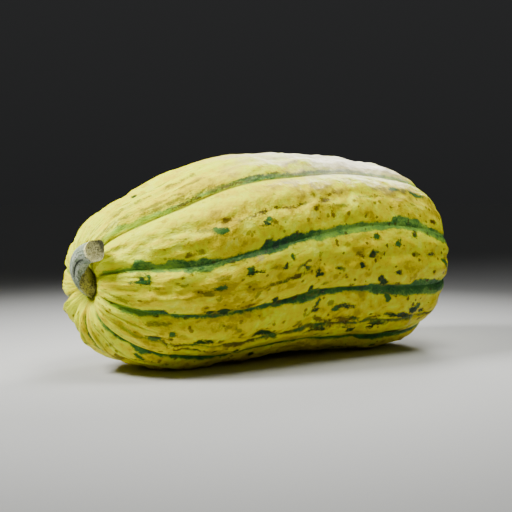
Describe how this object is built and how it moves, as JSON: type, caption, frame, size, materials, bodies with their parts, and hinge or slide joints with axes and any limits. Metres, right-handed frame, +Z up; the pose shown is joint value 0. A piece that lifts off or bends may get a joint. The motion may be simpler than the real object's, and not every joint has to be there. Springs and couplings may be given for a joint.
{
  "type": "delicata squash",
  "caption": "Whole ribbed squash, long and gently arched, lying on its belly, with the short hooked stub of its stem in a hollow at one end.",
  "frame": {"origin": "on the surface that the squash rests on, under the middle of its box", "axes": "+X runs along the fruit from the stem end to the blossom end, -Y is its best side, +Z up"},
  "size_m": [0.1839, 0.0888, 0.0888],
  "materials": {
    "rind": "satin, waxy rind: cream to golden yellow, with ragged dark green stripes in the creases and green flecks",
    "dry_stem": "matt, dry and corky: grey-green sides and a beige cut end"
  },
  "bodies": {
    "root": {"fruit": "rind", "stem": "dry_stem"}
  },
  "joints": []
}
